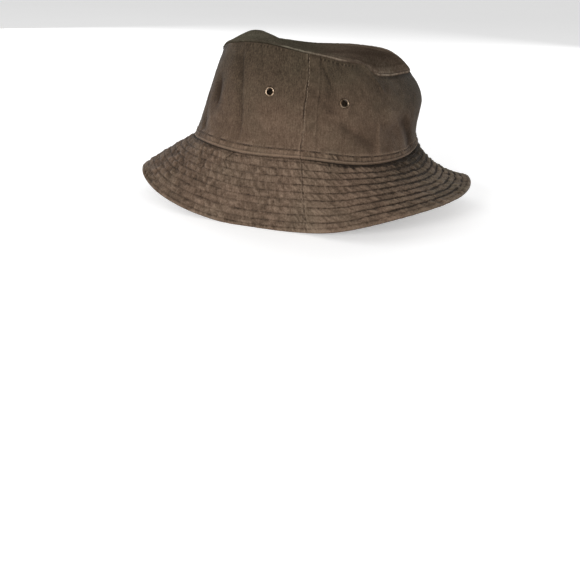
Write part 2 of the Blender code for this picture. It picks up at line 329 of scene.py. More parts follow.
def upright_seam(x, y, seed):
    """The join, with its allowance pressed to the right; x is measured from the join."""
    wobble = noise(y / 2.1, seed)
    join = (0.5 * noise(y / 2.9, seed + 3) - 0.38) * hump(x, 0.5)
    join += (0.42 + 0.7 * wobble) * hump(x - 1.1, 0.8) + (0.32 - 0.6 * wobble) * hump(x + 1.1, 0.8)
    allowance = 0.3 * between(x, 0.2, 1.2, ALLOWANCE - 0.6, ALLOWANCE + 1.2)
    pulls = 0.4 * noise(y / 3.2, seed + 5, x / 12) * hump(x - 5, 7)
    pulls += 0.5 * noise(y / 1.5, seed + 9, x / 3) * hump(x - 0.5, 4)
    line = (0.16 + 0.2 * noise(y / 2.3, seed + 8)) * hump(x - ALLOWANCE + 0.4, 0.7)
    return allowance + 0.6 * pulls, join + line + 0.5 * pulls - 0.2 * hump(x - ALLOWANCE - 1.0, 0.8)


def crown_painted_shade(x, y, under_tip):
    """Painted shade and painted light on the crown's cloth, whatever the relief there, and dark dashes just
    below the tip's edge.
    """
    # Painted shade and light in soft patches, and painted shade towards the top on the left.
    painted_shade = dents(x, y, CROWN_SHADES) + 0.06 * ramp(under_tip, -40, -8) * between(x, -190, -150, -30, -6)
    # Painted shade towards the crown's far left and far right.
    painted_shade += 0.36 * between(x, -180, -128, -121, -96) + 0.34 * between(x, 102, 121, 130, 180)
    # Paler just above the base seam.
    painted_shade -= (0.12 + 0.18 * between(x, -75, -55, 15, 32)) * hump(y - 3.5, 3.4)
    # A painted highlight along the ridge crease about 70 mm to the right.
    painted_shade -= 0.14 * hump(x - np.interp(y, (2, 36), (69.2, 71.7)), 1.3) * ramp(y, 38, 30)
    # A painted shadow line under the tip's rolled edge on the right.
    rolled = (1.2 + 1.2 * noise(x / 2, 1.9)) * between(x, 76, 84, 150, 190) * hump(under_tip + 0.9, 1.3)
    dashed = between(x, -77, -74, -28, -24) + between(x, 10, 14, 52, 58)
    beat = ramp(np.sin(TURN * (x + 0.9 * noise(x / 5, 8.8)) / 4.4), -0.5, 0.4) - 0.3
    return painted_shade + rolled + (1.5 + 1.5 * noise(x / 3, 3.4)) * dashed * beat * hump(under_tip + 2.3, 0.55)


def side_height(turn, up):
    """Height over the side panels, and the tone of their cloth: the relief shown as wear and painted shade,
    less the crown's painted shade and light.
    """
    x, y = along_of(turn), up * SIDE_HIGH
    points = side_point(turn, up)
    plain, fine = base_band(x, y)
    for place, seed in ((x - seam_lean(y), 1.5), (from_far_seam(x), 7.5)):
        allowance, join = upright_seam(place, y, seed)
        plain, fine = plain + allowance, fine + join
    fine = fine + 0.14 * crumple(points, 4, 8)
    soft = side_folds(x, y) + 0.55 * crumple(points, 26, 3)
    soft += 0.35 * crumple(points, 8, 6) * ramp(x, 45, 75) + 0.3 * crumple(points, 11, 5)
    soft = soft * ramp(y, -2, 12) + 0.3 * noise(x / 5, y / 30, 2.2) * ramp(y, 60, 85)
    painted_shade = crown_painted_shade(x, y, y - top_of_side(turn) * SIDE_HIGH)
    return level_at_eyelets(points, plain + fine + soft), fine + 0.18 * soft - painted_shade


def lining_drop(turn, up):
    """How far the sides' folds push in what lies behind them, in mm."""
    return np.minimum(side_height(turn, up)[0], 0)


def brim_lean(up):
    """How far the brim's near seam wanders at its head, in mm."""
    return 0.3 * noise(up * 9, 5.5) - 0.9


def row_wander(x, y, seed):
    """How far the brim's stitch rows stray, in mm."""
    return 0.3 * noise(x / 22, 1.1, seed) + 0.18 * noise(x / 7, y / 9, seed)


def brim_wear_and_shade(x, y, right, fine, groove, crease):
    """How the brim's relief shows as wear and painted shade, with painted shade under the crown's edge, and
    where the brim is darker or paler as a whole.
    """
    shaded = between(x, 15, 40, 110, 135)
    # Painted shade along the base seam under the crown's edge: deeper and broken into dashes on the right,
    # less in front.
    tucked = (1.5 + shaded - 0.7 * between(x, -72, -55, -5, 5)) * hump(y - 0.3, 1.8)
    tucked += shaded * np.maximum(0.6 + 2.2 * noise(x / 1.7, 6.1), 0) * hump(y - 3.4, 2.1)
    # A pale line at the hem, a dark line inside it, and painted shade in the crease.
    edge = 0.12 * hump(y - 61.2, 0.9) - 0.5 * hump(y - 58.6, 0.6) + 0.45 * crease
    # Paler high places and darker stitch grooves, part wear and part painted shade; the grooves are darker on
    # the right, where the rows lie in shade.
    worn_and_lit = (0.4 + 0.1 * right) * fine - (0.9 + 1.1 * right) * groove - tucked + edge - 0.02
    # Painted shade at the far left, and on the right near the crown.
    worn_and_lit -= 0.16 * between(x, -175, -140, -95, -72)
    worn_and_lit -= 0.75 * between(x, 55, 100, 140, 165) * ramp(y, 24, 3)
    # Paler at the middle front, and towards the hem on the right and on the left.
    worn_and_lit += 0.13 * hump(x, 16) + 0.3 * hump(x - 2, 9) * ramp(y, 54, 60)
    worn_and_lit += 0.17 * ramp(y, 22, 40) * between(x, 42, 75, 150, 175)
    return worn_and_lit + 0.15 * ramp(y, 34, 52) * between(x, -175, -150, -70, -45)


def brim_height(turn, up, seed):
    """Height over one face of the quilted brim, and the tone of its cloth from wear and painted shade."""
    x, y = along_of(turn), (1 - up) * BRIM_DEEP
    left = between(x, -150, -120, -25, 10) + 0.5 * ramp(np.abs(x), 150, 200)
    right = between(x, 20, 80, 140, 175)
    line = y + row_wander(x, y, seed)
    k = np.clip(np.searchsorted(CHANNELS, line) - 1, 0, len(CHANNELS) - 2)
    f = np.clip((line - CHANNELS[k]) / (CHANNELS[k + 1] - CHANNELS[k]), 0, 1)
    shear = x - (4.6 - 3.2 * left) * (f - 0.5)
    puckers = 1.2 * noise(shear / 1.75 + 0.31 * k, k * 3.0 + 0.5, seed)
    puckers += 0.5 * noise(shear, k * 5.0, seed + 2)
    mottle = noise(x / 3.6, y / 3.6, seed + 9) + 0.8 * noise(x / 1.9, y / 1.9, seed + 4)
    puff = np.sin(math.pi * f) ** 0.6
    tight = 0.7 + 0.6 * noise(x / 2.2, k * 2.0, seed + 1)
    tight += (0.6 * right + 0.7 * left) * noise(x / 6.5, k * 4.0, seed + 5)
    nearest = np.min(np.abs(line[..., None] - STITCH_ROWS), axis=-1)
    groove = (0.6 - 0.34 * left + 0.45 * right) * np.maximum(tight, 0) * hump(nearest, 0.5 + 0.35 * right)
    nicks = (0.22 + 0.33 * right) * noise(shear / 0.7, k * 7.0 + 0.5, seed + 6) * puff
    quilt = 0.40 * puff * (1 + 1.6 * puckers) + (0.3 + 0.27 * left) * mottle - groove + nicks
    raised = 0.3 + 0.3 * noise(y / 2.2, 3.1)
    join = sum(raised * hump(np.abs(place) - 1.1, 0.7) - 0.4 * hump(place, 0.45)
               for place in (x - brim_lean(up), from_far_seam(x)))
    crease = fold(y, x, ((-1, -60.5), (3, -64), (8, -69), (11, -70), (16, -66.5)), 0.7, 1.2, -0.75)
    fine = quilt * between(y, 0.3, 2.5, 60.5, 62.4) + join + crease
    return np.maximum(fine, -0.45), brim_wear_and_shade(x, y, right, fine, groove, crease)


def brim_sway(turn, up):
    """What all the brim's layers do together: a tuck under the crown's edge and slow waves."""
    x, y = along_of(turn), (1 - up) * BRIM_DEEP
    waves = 0.7 * noise(x / 24, y / 40, 6.6) * ramp(y, 2, 20)
    waves += 0.3 * noise(x / 9, y / 25, 2.6) * ramp(y, 4, 30)
    shaded = between(x, 18, 36, 118, 135)
    pulls = shaded * 0.7 * noise(x / 2.3, 5.1) * hump(y - 2.6, 1.8)
    return waves + pulls - (0.6 + 0.9 * shaded) * ramp(y, 3.4 + 1.4 * shaded, 0.2)


# ---- meshes ----

def steps(length, fine, coarse, margins):
    """Places from 0 to 1, finely spaced for a margin at each end."""
    start = np.arange(0, margins[0], fine)
    finish = length - np.arange(0, margins[1], fine)[::-1]
    count = int(round((finish[0] - start[-1]) / coarse))
    middle = np.linspace(start[-1], finish[0], count + 1)[1:-1]
    return np.concatenate([start, middle, finish]) / length


def sheet_faces(rows, columns, wrap):
    """Quads for both faces of a sheet and its rims; the inner face's points follow the outer's."""
    n = rows * columns
    index = np.arange(n).reshape(rows, columns)
    right = np.roll(index, -1, 1) if wrap else index[:, 1:]
    left = index if wrap else index[:, :-1]
    quads = [(left[:-1], right[:-1], right[1:], left[1:]),
             (left[1:] + n, right[1:] + n, right[:-1] + n, left[:-1] + n),
             (left[0] + n, right[0] + n, right[0], left[0]),
             (left[-1], right[-1], right[-1] + n, left[-1] + n)]
    if not wrap:
        first, last = index[:, 0], index[:, -1]
        quads += [(first[:-1], first[1:], first[1:] + n, first[:-1] + n),
                  (last[:-1] + n, last[1:] + n, last[1:], last[:-1])]
    return np.concatenate([np.stack(corners, -1).reshape(-1, 4) for corners in quads])


def linked(name, data):
    thing = bpy.data.objects.new(name, data)
    bpy.context.collection.objects.link(thing)
    return thing


def ready_made(name, shape, **sizes):
    """An object with one of the shapes that bmesh makes."""
    mesh = bpy.data.meshes.new(name)
    bm = bmesh.new()
    getattr(bmesh.ops, "create_" + shape)(bm, **sizes)
    bm.to_mesh(mesh)
    bm.free()
    return linked(name, mesh)


def new_mesh(name, points, faces, material, values=None, sharp=50):
    """An object that rides on the hat's one body; its values are kept per point for its material."""
    mesh = bpy.data.meshes.new(name)
    mesh.from_pydata(points.reshape(-1, 3).tolist(), [], faces if isinstance(faces, list) else faces.tolist())
    mesh.shade_smooth()
    if sharp:
        mesh.set_sharp_from_angle(angle=math.radians(sharp))
    for label, array in (values or {}).items():
        kind, field = ("FLOAT_VECTOR", "vector") if label == "weave" else ("FLOAT", "value")
        mesh.attributes.new(label, kind, "POINT").data.foreach_set(field, np.ravel(array).astype(np.float32))
    mesh.materials.append(material)
    thing = linked(name, mesh)
    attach(thing, "root")
    return thing


def cloth(node, grids, weave, wear_and_shade, material, slot, flat, stuff="cloth", area=None, faces=None, wrap=False,
          rests_on=(), green_shade=None):
    """A closed thin sheet between an outer and an inner grid of points, which stands for a CAD node."""
    if faces is None:
        faces = sheet_faces(*grids[0].shape[:2], wrap)
    values = {"wear_and_shade": np.stack(wear_and_shade)}
    if green_shade is not None:
        values["green_shade"] = np.stack([green_shade, green_shade])
    values["weave"] = np.stack([weave, weave])
    thing = new_mesh(f"{node}_{stuff}", np.stack(grids), faces, material, values)
    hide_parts(node)
    return thing


def weave_of(x, y):
    """Where the cloth's yarns run, in mm; each panel's x runs across the warp."""
    return np.stack([x, y, 0 * x], -1)


HALVES_APART = 0.02  # the gap between two sewn halves, in mm


def half_grid(hand, rows, columns, lean):
    """Turns, heights and mm along for one sewn half, its near edge following a lean in mm."""
    v, c = np.meshgrid(rows, columns, indexing="ij")
    near = lean(v)
    if hand == "right":
        mm = near + HALVES_APART / 2 + c * (ROUND / 2 - HALVES_APART - near)
        return turn_of(mm) % TURN - TURN * (mm < ROUND / 4), v, mm
    mm = -ROUND / 2 + HALVES_APART / 2 + c * (ROUND / 2 - HALVES_APART + near)
    return turn_of(mm), v, mm


# ---- materials ----

class Nodes:
    """Short hands for wiring a material: a value may be a number, a colour, a vector or a node's output."""

    def __init__(self, name, **sockets):
        self.material = bpy.data.materials.new(name)
        self.material.use_nodes = True
        self.tree = self.material.node_tree
        for label, value in sockets.items():
            self.set(label.replace("_", " "), value)

    def feed(self, socket, value):
        if isinstance(value, bpy.types.NodeSocket):
            self.tree.links.new(value, socket)
        else:
            socket.default_value = (*value, 1) if socket.type == "RGBA" else value

    def set(self, label, value):
        self.feed(self.tree.nodes["Principled BSDF"].inputs[label], value)

    def node(self, kind, output, inputs, **settings):
        """One output of a new node, whose inputs are given by label or number."""
        node = self.tree.nodes.new("ShaderNode" + kind)
        for key, value in settings.items():
            setattr(node, key, value)
        for label, value in inputs.items():
            self.feed(node.inputs[label], value)
        return node.outputs[output]

    def attribute(self, name, output):
        return self.node("Attribute", output, {}, attribute_name=name)

    def place(self):
        return self.node("TexCoord", "Object", {})

    def math(self, operation, *values):
        return self.node("Math", 0, dict(enumerate(values)), operation=operation)

    def varied(self, total, value, amount):
        """The total, moved by how far a value from 0 to 1 lies from its middle."""
        return self.math("MULTIPLY_ADD", self.math("SUBTRACT", value, 0.5), amount, total)

    def scaled(self, vector, scale):
        return self.node("VectorMath", "Vector", {0: vector, 1: scale}, operation="MULTIPLY")

    def ridges(self, weave, pitch, across, along):
        """Even ridges over the cloth, their pitch in mm and their slant given by two shares."""
        sockets = {0: weave, 1: (TURN / pitch * across, TURN / pitch * along, 0)}
        return self.math("SINE", self.node("VectorMath", "Value", sockets, operation="DOT_PRODUCT"))

    def noise(self, vector, scale=1.0, detail=2.0, rough=0.5):
        return self.node("TexNoise", "Fac",
                         {"Vector": vector, "Scale": scale, "Detail": detail, "Roughness": rough})

    def mix(self, share, a, b, blend="MIX"):
        return self.node("Mix", "Result", {"Factor": share, "A": a, "B": b},
                         data_type="RGBA", blend_type=blend)

    def span(self, value, low, high, start=0.0, end=1.0):
        return self.node("MapRange", "Result",
                         {"Value": value, "From Min": low, "From Max": high, "To Min": start, "To Max": end})

    def bump(self, height, depth, strength=1.0):
        sockets = {"Strength": strength, "Distance": depth * MM, "Height": height}
        self.set("Normal", self.node("Bump", "Normal", sockets))

    def finished(self, share, low, high, height, depth):
        """The material, its colour mixed by a share and its relief given a depth in mm."""
        self.set("Base Color", self.mix(share, low, high))
        self.bump(height, depth)
        return self.material


PATCH_AND_SHADE_TINT = (0.8, 0.96, 0.93)  # what the dye's greener patches and the painted greener shade do to the colour
TWILL_SLANT = (0.82, 0.57)


def twill(name, deep, mid, worn_and_lit, pitch=0.62, slub=0.85, shade_by_height=(0.0, 0.0), sheen=0.02, gloss=0.12):
    """Washed cotton twill: slanted yarn ridges, streaky slubs, and a per-point tone that is paler on high
    places and darker in low ones, part wear and part painted shade, with painted shade that changes with
    height where asked.
    """
    n = Nodes(name, Roughness=0.92, Sheen_Weight=sheen, Sheen_Roughness=0.5, Specular_IOR_Level=gloss)
    weave, wear_and_shade, place = n.attribute("weave", "Vector"), n.attribute("wear_and_shade", "Fac"), n.place()
    picks = n.ridges(weave, pitch, 1.0, 0.0)
    twilled = n.math("MULTIPLY_ADD", picks, 0.4, n.ridges(weave, pitch, *TWILL_SLANT))
    streaks = n.noise(n.scaled(weave, (0.95, 0.16, 1)), 1.0, 3.0, 0.65)
    speckle = n.noise(n.scaled(weave, (0.72, 0.6, 1)), 1.0, 4.0, 0.8)
    cloudy = n.noise(place, 34.0, 3.0, 0.55)
    patches = n.noise(place, 95.0, 3.0, 0.6)

    height = n.node("SeparateXYZ", "Y", {0: weave})
    # The tone follows the per-point value, which is part wear and part painted shade and light, and the
    # painted shade by height.
    tone = n.math("ADD", n.span(height, 0.0, SIDE_HIGH, *shade_by_height), n.math("MULTIPLY_ADD", wear_and_shade, 0.62, 0.5))
    for value, amount in ((streaks, slub), (speckle, 1.45), (patches, 0.25)):
        tone = n.varied(tone, value, amount)
    tone = n.math("MULTIPLY_ADD", twilled, 0.07, tone)
    dark = n.mix(n.span(tone, 0.0, 0.5), deep, mid)
    full = n.mix(n.span(tone, 0.5, 1.1), dark, worn_and_lit)
    # The greener tint falls on random cloudy patches in the dye and, by a per-point value, as painted greener
    # shade.
    share = n.math("ADD", n.span(cloudy, 0.42, 0.72, 0.0, 0.35), n.attribute("green_shade", "Fac"))
    n.set("Base Color", n.mix(share, full, PATCH_AND_SHADE_TINT, "MULTIPLY"))
    n.set("Roughness", n.span(tone, 0.0, 1.0, 0.97, 0.86))
    n.bump(n.varied(n.varied(twilled, streaks, 1.4), speckle, 1.6), 0.09, 0.8)
    return n.material


def thread_material(name, dark, light):
    """Spun thread: a fine slanted twist and uneven dye."""
    n = Nodes(name, Roughness=0.8, Sheen_Weight=0.04, Sheen_Roughness=0.4, Specular_IOR_Level=0.15)
    place = n.place()
    uneven, slow = n.noise(place, 1400.0), n.noise(place, 160.0)
    share = n.math("MULTIPLY_ADD", slow, 0.6, n.math("MULTIPLY", uneven, 0.6))
    return n.finished(n.span(share, 0.4, 0.85), dark, light, uneven, 0.08)


def felted_material(name, low, high):
    """Pressed non-woven stiffener: matted fibres."""
    n = Nodes(name, Roughness=0.95, Sheen_Weight=0.1)
    fibres = n.noise(n.place(), 900.0, 5.0, 0.75)
    return n.finished(n.span(fibres, 0.3, 0.7), low, high, fibres, 0.1)


def satin_material(name, low, high):
    """Woven satin: long floats along the ribbon."""
    n = Nodes(name, Roughness=0.42, Sheen_Weight=0.3, Sheen_Roughness=0.3)
    floats = n.noise(n.scaled(n.attribute("weave", "Vector"), (0.35, 5.0, 1)), 1.0, 3.0)
    return n.finished(n.span(floats, 0.3, 0.7), low, high, floats, 0.05)


def metal_material(name, bright, dull, roughness):
    """Plated brass, tarnished in patches and rubbed bright elsewhere."""
    n = Nodes(name, Metallic=1.0)
    place = n.place()
    share = n.span(n.noise(place, 420.0, 3.0, 0.6), 0.38, 0.62)
    n.set("Roughness", n.span(share, 0.0, 1.0, roughness, roughness + 0.22))
    return n.finished(share, bright, dull, n.noise(n.scaled(place, (3000, 900, 3000))), 0.015)


def floor_material():
    n = Nodes("pale_floor", Roughness=0.75, Emission_Color=(1, 1, 1), Emission_Strength=0.34)
    n.set("Base Color", n.mix(n.noise(n.place(), 3.0), (0.86, 0.86, 0.86), (0.89, 0.89, 0.89)))
    return n.material


# The crown's cloth is painted darker towards the top of the sides and a little paler at their foot: painted
# shade by height.
crown_twill = twill("crown_twill", (0.026, 0.016, 0.01), (0.072, 0.0465, 0.0305), (0.15, 0.102, 0.07),
                    shade_by_height=(0.09, -0.22))
tip_twill = twill("tip_twill", (0.0355, 0.024, 0.017), (0.089, 0.064, 0.047), (0.173, 0.131, 0.1),
                  sheen=0.0, gloss=0.0)
brim_twill = twill("brim_twill", (0.02, 0.0128, 0.008), (0.087, 0.0575, 0.039), (0.19, 0.132, 0.094),
                   slub=0.5)
under_twill = twill("brim_under_twill", (0.026, 0.016, 0.0102), (0.078, 0.052, 0.035), (0.15, 0.104, 0.072))
band_twill = twill("sweatband_twill", (0.038, 0.026, 0.018), (0.086, 0.061, 0.042), (0.15, 0.109, 0.079),
                   pitch=0.8)
tape_twill = twill("bias_tape", (0.03, 0.022, 0.014), (0.078, 0.056, 0.039), (0.14, 0.103, 0.073), pitch=0.7)
interlining_felt = felted_material("interlining", (0.5, 0.48, 0.43), (0.7, 0.68, 0.62))
label_satin = satin_material("label_satin", (0.55, 0.53, 0.47), (0.74, 0.72, 0.66))
brown_thread = thread_material("sewing_thread", (0.045, 0.032, 0.021), (0.15, 0.108, 0.074))
pale_thread = thread_material("seam_thread", (0.07, 0.05, 0.034), (0.2, 0.146, 0.104))
quilt_thread = thread_material("quilting_thread", (0.022, 0.0145, 0.0095), (0.074, 0.051, 0.035))
base_thread = thread_material("base_thread", (0.036, 0.0245, 0.0165), (0.135, 0.095, 0.065))
antique_brass = metal_material("antique_brass", (0.22, 0.165, 0.118), (0.065, 0.042, 0.026), 0.24)
washer_brass = metal_material("washer_brass", (0.42, 0.31, 0.17), (0.2, 0.14, 0.07), 0.34)


# ---- eyelet places ----

EYELET_FROM_SEAM = {"left": 30.2 * MM, "right": 32.5 * MM}
EYELET_HEIGHT = 0.58  # as a share of the side panels' height
SEARCH_STEP = math.radians(0.25)


def eyelet_place(seam_turn, direction, distance):
    """Where an eyelet sits, +Z outwards."""
    up = np.array([EYELET_HEIGHT])
    turn = np.array([seam_turn])
    start = side_point(turn, up)
    while np.linalg.norm(side_point(turn, up) - start) < distance:
        turn = turn + direction * SEARCH_STEP
    out = Vector(normals(side_point, turn, up)[0])
    return Matrix.Translation(side_point(turn, up)[0]) @ out.to_track_quat("Z", "Y").to_matrix().to_4x4()


EYELETS = {}
for where, seam in SEAMS:
    for hand in HANDS:
        direction = 1 if (hand == "right") == (where == "near") else -1
        EYELETS[where, hand] = eyelet_place(seam, direction, EYELET_FROM_SEAM[hand])


def level_at_eyelets(points, height):
    """The cloth is pinched flat under each eyelet and stands a little proud round it."""
    for place in EYELETS.values():
        away = np.linalg.norm(points - np.array(place.translation), axis=-1) / MM
        height = height * ramp(away, 4.0, 8.5) + 0.22 * hump(away - 5.4, 1.1)
    return height


# ---- the crown's sides ----

SIDE_TOP = 0.985 * SIDE_HIGH
FOOT_ROWS = (-0.9, -0.6, -0.3)  # the rows below the base seam, in mm
side_rows = np.concatenate([FOOT_ROWS, SIDE_TOP * steps(SIDE_TOP, 0.4, 0.95, (8.5, 2))]) / SIDE_HIGH
side_columns = steps(ROUND / 2, 0.4, 0.95, (4, 4))


def side_lean(up):
    return seam_lean(up * SIDE_HIGH)


sides = {}
for hand in HANDS:
    turn, up, mm = half_grid(hand, side_rows, side_columns, side_lean)
    height, wear_and_shade = side_height(turn, up)
    outer = lifted(side_point, turn, up, height)
    inner = lifted(side_point, turn, np.maximum(up, 0.003), np.minimum(height, 0.35 * height) - CLOTH)
    # Painted greener shade towards the top of the sides and at the far right.
    sides[hand] = cloth(f"crown_side_{hand}", (outer, inner), weave_of(mm, up * SIDE_HIGH), (wear_and_shade, 0 * wear_and_shade),
                        crown_twill, "crown_twill", (0.292, 0.088),
                        green_shade=0.6 * ramp(up * SIDE_HIGH, 30, 84) + 0.25 * ramp(mm, 100, 135))


# ---- the tip ----

TIP_COLUMNS = 540
TIP_LIFT = 0.95 * MM  # how far the tip's turned edge stands off the side
TIP_ROW = 2.3  # the tip's stitch row, from its turned edge, in mm
TIP_CORNER = slice(3, 22)  # the rows that go round the rim
CORNER_PASSES = 5


def tip_grid():
    """The tip's path: up over the side's edge, round the rim and in to the centre."""
    turn = np.linspace(0, TURN, TIP_COLUMNS, endpoint=False)
    foot = top_of_side(turn)
    rows = []
    for share in np.linspace(0, 1, 9)[:-1]:
        up = foot + (1.0 - foot) * share
        rows.append(side_point(turn, up) + normals(side_point, turn, up) * TIP_LIFT)
    for inward in np.concatenate([np.linspace(0.006, 0.06, 8), np.linspace(0.06, 0.993, 66)[1:]]):
        rows.append(tip_point(turn, inward + 0 * turn))
    path = np.stack(rows)
    for _ in range(CORNER_PASSES):
        smooth = 0.25 * path[:-2] + 0.5 * path[1:-1] + 0.25 * path[2:]
        path[1:-1][TIP_CORNER] = smooth[TIP_CORNER]
    return turn, path


def grid_normals(points):
    """Outward normals of a ring grid."""
    along = np.roll(points, -1, 1) - np.roll(points, 1, 1)
    return unit(np.cross(along, np.gradient(points, axis=0)))


def ridge_share(x):
    """How clearly the tip's seam stands up: wear flattens it on the left and where the rim folds."""
    flat = between(x, -175, -150, -34, -22) + between(x, 36, 46, 74, 79)
    return 1 - 0.8 * flat + 0.8 * ramp(np.abs(x), 175, 205) + 0.6 * between(x, 76, 84, 125, 150)


def tip_painted_shade(x, across, deep, edge):
    """Painted shade and painted light on the tip, apart from its relief; across and deep are mm from the
    hat's middle.
    """
    # Painted shadow lines along the far rim, with a painted paler band between them.
    painted_shade = 0.8 * hump(edge - 9.5, 1.5) * ramp(np.abs(x), 150, 190) * (x > 0)
    painted_shade += (0.9 * hump(edge - 2, 2.2) - 0.4 * hump(edge - 6.5, 2.4)) * ramp(np.abs(x), 150, 185)
    # Paler near the rim at the far right.
    painted_shade -= 0.8 * ramp(across, 12, 38) * ramp(deep, 12, 42) * ramp(edge, 30, 10)
    # Painted shade over the tip's right and painted light over its left.
    painted_shade += (0.5 * ramp(across, 15, 60) - 0.22 * ramp(across, -10, -45)) * ramp(edge, 2.5, 4.5)
    # Darker broken marks along the turned edge on the right.
    return painted_shade + between(x, 70, 84, 150, 190) * (0.45 + 1.1 * noise(x / 1.8, 4.7)) * hump(edge - 0.9, 1.0)


def tip_height(turn, edge, points):
    """Height over the tip, by mm from its turned edge, and the tone of its cloth: the relief shown as wear
    and painted shade, less the tip's painted shade and light.
    """
    x = along_of(turn)[None, :] + 0 * edge
    pucker = noise(x / 3.0, 12.7)
    strong = ridge_share(x)
    turned = (0.75 * strong - 0.25) * hump(edge - 0.9, 0.9) - 0.5 * ramp(edge, 0.7, 0.0)
    turned = turned - 0.5 * np.maximum(1 - strong, 0) * ramp(edge, 3, 1)
    row = -(0.42 + 0.2 * pucker) * strong * hump(edge - TIP_ROW, 0.5)
    pulls = 0.28 * pucker * hump(edge - TIP_ROW - 0.8, 2.5)
    inner_line = 0.3 * ramp(edge, 9.8, 8.6) - 0.3 * hump(edge - 9.5, 0.9)
    fine = turned + row + pulls + 0.6 * inner_line + 0.1 * crumple(points, 5, 21)
    soft = 0.8 * crumple(points, 30, 17) + 0.3 * crumple(points, 12, 19)
    painted_shade = tip_painted_shade(x, points[..., 0] / MM, points[..., 1] / MM, edge)
    return fine + soft * ramp(edge, 2, 14), fine + 0.3 * soft - painted_shade


def capped(faces, rows, columns):
    """A ring sheet's faces with its inner rim closed on each side instead of joined."""
    count = rows * columns
    kept = faces[:2 * (rows - 1) * columns + columns]
    last = list(range(count - columns, count))
    return kept.tolist() + [last, [i + count for i in reversed(last)]]


turn, tip_path = tip_grid()
tip_edge = lengths_along(tip_path)
height, wear_and_shade = tip_height(turn, tip_edge, tip_path)
tip_normals = grid_normals(tip_path)
tip_outer = tip_path + tip_normals * (height * MM)[..., None]
tip_inner = tip_path + tip_normals * ((np.minimum(height, 0.3 * height) - CLOTH + 0.1) * MM)[..., None]
tip_across, tip_deep = tip_path[..., 0] / MM, tip_path[..., 1] / MM
tip_size = tip_path.shape[:2]
# Painted greener shade over the tip, strongest on its left.
cloth("crown_tip", (tip_outer, tip_inner), weave_of(tip_across, tip_deep), (wear_and_shade, 0 * wear_and_shade), tip_twill,
      "crown_twill", (0.168, 0.144), area=0.0195, faces=capped(sheet_faces(*tip_size, True), *tip_size),
      rests_on=["crown_side_left", "crown_side_right"], green_shade=0.1 + 0.9 * ramp(tip_across, 35, -20))


# ---- the brim ----

HEM_ROLL = 1.3  # how far up from the hem the faces turn in, in mm
HEM_ROWS = np.array((0.05, 0.14)) / BRIM_DEEP
LAYERS = CLOTH + GAP + INTERLINING + GAP
TOP_SEED, UNDER_SEED = 3.0, 40.0
BRIM_FLAT = (0.292 * 1.2, 0.070)
FELT_INSET = 1.5 / BRIM_DEEP
FELT_GRID = (np.linspace(FELT_INSET, 1 - FELT_INSET, 40), np.linspace(0, 1, 150))
brim_rows = np.sort(np.concatenate([1 - steps(BRIM_DEEP, 0.3, 0.62, (1.5, 1.8)), HEM_ROWS]))
brim_columns = steps(ROUND / 2, 0.35, 0.8, (3.5, 3.5))


def hem_roll(up):
    """How far each face turns in at the hem, as a share of half the brim's thickness."""
    x = np.clip(up * BRIM_DEEP / HEM_ROLL, 0, 1)
    return 1 - np.sqrt(1 - (1 - x) ** 2)


for hand in HANDS:
    felt_node = f"brim_interlining_{hand}"
    turn, up, mm = half_grid(hand, brim_rows, brim_columns, brim_lean)
    sway, roll = brim_sway(turn, up), hem_roll(up)
    weave = weave_of(mm, (1 - up) * BRIM_DEEP)
    height, wear_and_shade = brim_height(turn, up, TOP_SEED)
    grids = faces_over(brim_point, turn, up, sway + height - 1.15 * roll,
                       sway - CLOTH - 0.45 * roll + 0.25 * np.maximum(height, 0))
    # Painted greener shade on the brim's right.
    cloth(f"brim_top_{hand}", grids, weave, (wear_and_shade, 0 * wear_and_shade), brim_twill, "brim_twill", BRIM_FLAT,
          rests_on=[felt_node], green_shade=0.45 * ramp(mm, 40, 120))
    height, wear_and_shade = brim_height(turn, up, UNDER_SEED)
    grids = faces_over(brim_point, turn, up, sway - LAYERS - 0.25 * np.maximum(height, 0) + 0.45 * roll,
                       sway - LAYERS - CLOTH - height + 1.15 * roll)
    cloth(f"brim_under_{hand}", grids, weave, (0 * wear_and_shade, wear_and_shade), under_twill, "brim_twill", BRIM_FLAT,
          rests_on=[felt_node])
    turn, up, mm = half_grid(hand, *FELT_GRID, brim_lean)
    above = brim_sway(turn, up) - CLOTH - GAP + 0.04 * crumple(brim_point(turn, up), 3, 31)
    grids = faces_over(brim_point, turn, up, above, above - INTERLINING)
    cloth(felt_node, grids, weave_of(mm, (1 - up) * BRIM_DEEP), (0 * up, 0 * up), interlining_felt,
          "interlining", (0.345, 0.059), stuff="felt")


# ---- the band, tapes and label inside the crown ----

INSIDE = CLOTH + GAP  # how deep the lining lies under the sides' outer face, in mm
BEHIND = INSIDE + 0.05
BAND_SPAN = (0.004, 3 / 7 * 0.97)  # heights as shares of the side panels' own
TIP_TAPE_SPAN = (6 / 7, 0.972)
SIDE_TAPE_SPAN = (0.433, 0.852)
LABEL_SPAN = (0.08, 0.26)
TAPE_WIDE, LABEL_WIDE = 20.0, 26.0  # in mm
BAND_STITCH, TAPE_STITCH = 2.4, 1.8  # how far in from the edges the stitch rows lie, in mm
RING_COLUMNS = 500


def ribbon(y, high, edge, rise, row, depth, width):
    """A folded ribbon's rolled edges, with a stitch row by each."""
    return sum(rise * hump(side - edge, edge) - depth * hump(side - row, width) for side in (y, high - y))


def band_relief(x, y, high):
    pulls = 0.12 * noise(x / 3.2, y / 9, 3.1) + 0.15 * noise(x / 14, y / 12, 5.2)
    return ribbon(y, high, 1.0, 0.3, BAND_STITCH, 0.35, 0.5) + pulls


def tape_relief(x, y, high):
    return ribbon(y, high, 0.8, 0.2, TAPE_STITCH, 0.25, 0.4) + 0.1 * noise(x / 2.4, y / 6, 8.1)


def upright_tape_relief(x, y, high):
    return tape_relief(y, x, TAPE_WIDE)


